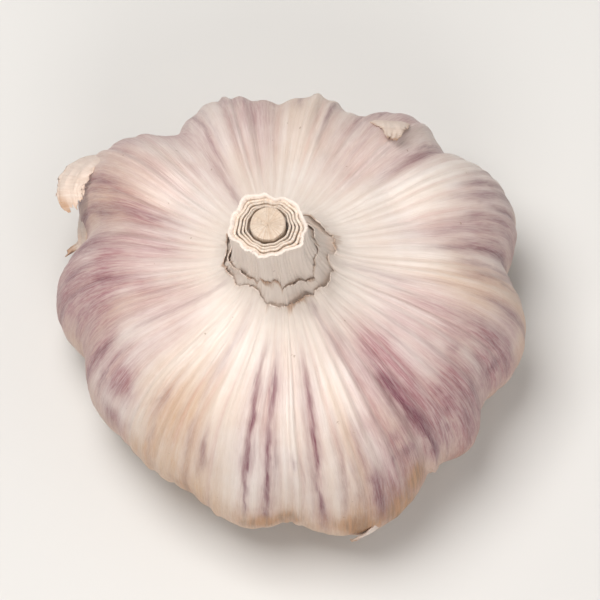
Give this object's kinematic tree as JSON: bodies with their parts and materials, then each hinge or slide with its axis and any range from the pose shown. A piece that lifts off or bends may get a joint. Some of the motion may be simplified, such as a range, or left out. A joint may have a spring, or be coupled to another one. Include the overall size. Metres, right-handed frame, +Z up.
{
  "type": "garlic bulb",
  "caption": "Whole dried head of purple-striped garlic that stands on its root end, with a cut neck, torn papery skin and trimmed roots.",
  "frame": {"origin": "middle of the flat cut scar of the root plate, on the surface that the bulb rests on", "axes": "+Z up the bulb's axis to the neck; -Y is the side that the picture shows nearest, +X is its right"},
  "size_m": [0.0665, 0.0638, 0.061],
  "materials": {
    "skin": "thin dry papery skin, satin, cream with mauve streaks",
    "stalk": "dry fibrous cut stalk, matte",
    "roots": "dry corky root plate and trimmed roots, matte"
  },
  "bodies": {
    "root": {"bulb": "skin", "stalk": "stalk", "roots": "roots"}
  },
  "joints": []
}
